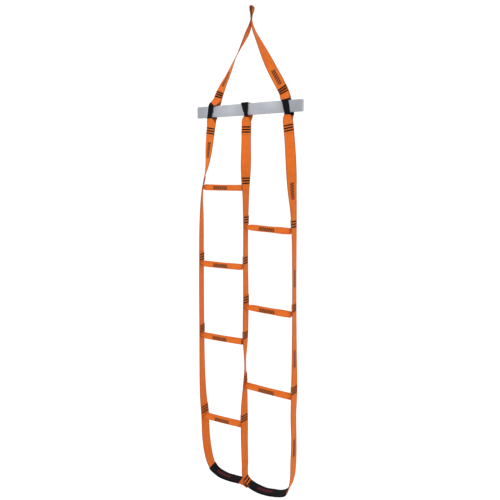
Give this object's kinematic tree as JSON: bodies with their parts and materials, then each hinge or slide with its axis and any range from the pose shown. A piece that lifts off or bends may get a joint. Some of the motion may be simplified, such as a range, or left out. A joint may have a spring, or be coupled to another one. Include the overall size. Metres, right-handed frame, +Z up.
{
  "type": "webbing escape ladder",
  "caption": "Hanging webbing escape ladder: sewn eye and bridle, aluminium spreader bar, three straps, staggered stiffened rungs and sleeved bottom steps.",
  "frame": {"origin": "the bearing point inside the top of the hanging eye, where a hook or carabiner carries the ladder", "axes": "+Z up along the hanging ladder, X along the spreader bar, -Y the ladder's front, and Y along the eye's opening"},
  "size_m": [0.504, 0.047, 2.0955],
  "materials": {
    "orange_webbing": "woven polyester rescue webbing, 45 mm wide, slight sheen",
    "black_sleeve": "black tubular abrasion sleeve over the webbing",
    "black_thread": "black heavy sewing thread, bar-tacked",
    "aluminium_bar": "extruded and natural-anodised aluminium, fine brushed grain",
    "grey_plug": "grey moulded end plug",
    "rung_core_plastic": "stiff glass-filled plastic tube inside the rung"
  },
  "bodies": {
    "eye": {"top_eye": "orange_webbing", "eye_bartacks": "black_thread"},
    "bridle": {"left_bridle_leg": "orange_webbing", "right_bridle_leg": "orange_webbing"},
    "hanger": {"left_bar_pocket": "orange_webbing", "right_bar_pocket": "orange_webbing", "middle_bar_loop": "orange_webbing", "left_bar_sleeve": "black_sleeve", "middle_bar_sleeve": "black_sleeve", "right_bar_sleeve": "black_sleeve", "hanger_bartacks": "black_thread"},
    "spreader_bar": {"spreader_bar_tube": "aluminium_bar", "spreader_bar_end_plugs": "grey_plug"},
    "panel_1": {"rung_1_left_rail": "orange_webbing", "rung_1_middle_rail": "orange_webbing", "rung_1_right_rail": "orange_webbing", "rung_1_webbing": "orange_webbing", "rung_1_core": "rung_core_plastic", "rung_1_bartacks": "black_thread"},
    "panel_2": {"rung_2_left_rail": "orange_webbing", "rung_2_middle_rail": "orange_webbing", "rung_2_right_rail": "orange_webbing", "rung_2_webbing": "orange_webbing", "rung_2_core": "rung_core_plastic", "rung_2_bartacks": "black_thread"},
    "panel_3": {"rung_3_left_rail": "orange_webbing", "rung_3_middle_rail": "orange_webbing", "rung_3_right_rail": "orange_webbing", "rung_3_webbing": "orange_webbing", "rung_3_core": "rung_core_plastic", "rung_3_bartacks": "black_thread"},
    "panel_4": {"rung_4_left_rail": "orange_webbing", "rung_4_middle_rail": "orange_webbing", "rung_4_right_rail": "orange_webbing", "rung_4_webbing": "orange_webbing", "rung_4_core": "rung_core_plastic", "rung_4_bartacks": "black_thread"},
    "panel_5": {"rung_5_left_rail": "orange_webbing", "rung_5_middle_rail": "orange_webbing", "rung_5_right_rail": "orange_webbing", "rung_5_webbing": "orange_webbing", "rung_5_core": "rung_core_plastic", "rung_5_bartacks": "black_thread"},
    "panel_6": {"rung_6_left_rail": "orange_webbing", "rung_6_middle_rail": "orange_webbing", "rung_6_right_rail": "orange_webbing", "rung_6_webbing": "orange_webbing", "rung_6_core": "rung_core_plastic", "rung_6_bartacks": "black_thread"},
    "panel_7": {"rung_7_left_rail": "orange_webbing", "rung_7_middle_rail": "orange_webbing", "rung_7_right_rail": "orange_webbing", "rung_7_webbing": "orange_webbing", "rung_7_core": "rung_core_plastic", "rung_7_bartacks": "black_thread"},
    "steps": {"left_step_webbing": "orange_webbing", "right_step_webbing": "orange_webbing", "left_step_sleeve": "black_sleeve", "right_step_sleeve": "black_sleeve", "step_bartacks": "black_thread"}
  },
  "joints": [
    {"name": "eye_swing", "type": "hinge", "parent": "eye", "child": "bridle", "pos_m": [0, 0, -0.062], "axis": [0, 1, 0], "range_deg": [-75, 75]},
    {"name": "bridle_fold", "type": "hinge", "parent": "bridle", "child": "hanger", "pos_m": [0, 0, -0.35], "axis": [1, 0, 0], "range_deg": [-145, 145]},
    {"name": "bar_fold", "type": "hinge", "parent": "hanger", "child": "panel_1", "pos_m": [0, 0, -0.575], "axis": [-1, 0, 0], "range_deg": [-145, 145]},
    {"name": "fold_below_rung_1", "type": "hinge", "parent": "panel_1", "child": "panel_2", "pos_m": [0, 0, -0.878], "axis": [1, 0, 0], "range_deg": [-145, 145]},
    {"name": "fold_below_rung_2", "type": "hinge", "parent": "panel_2", "child": "panel_3", "pos_m": [0, 0, -1.055], "axis": [-1, 0, 0], "range_deg": [-145, 145]},
    {"name": "fold_below_rung_3", "type": "hinge", "parent": "panel_3", "child": "panel_4", "pos_m": [0, 0, -1.229], "axis": [1, 0, 0], "range_deg": [-145, 145]},
    {"name": "fold_below_rung_4", "type": "hinge", "parent": "panel_4", "child": "panel_5", "pos_m": [0, 0, -1.392], "axis": [-1, 0, 0], "range_deg": [-145, 145]},
    {"name": "fold_below_rung_5", "type": "hinge", "parent": "panel_5", "child": "panel_6", "pos_m": [0, 0, -1.565], "axis": [1, 0, 0], "range_deg": [-145, 145]},
    {"name": "fold_below_rung_6", "type": "hinge", "parent": "panel_6", "child": "panel_7", "pos_m": [0, 0, -1.747], "axis": [-1, 0, 0], "range_deg": [-145, 145]},
    {"name": "fold_below_rung_7", "type": "hinge", "parent": "panel_7", "child": "steps", "pos_m": [0, 0, -1.93], "axis": [1, 0, 0], "range_deg": [-145, 145]},
    {"name": "spreader_bar_slide", "type": "slide", "parent": "hanger", "child": "spreader_bar", "axis": [1, 0, 0], "range_m": [-0.085, 0.085]}
  ]
}
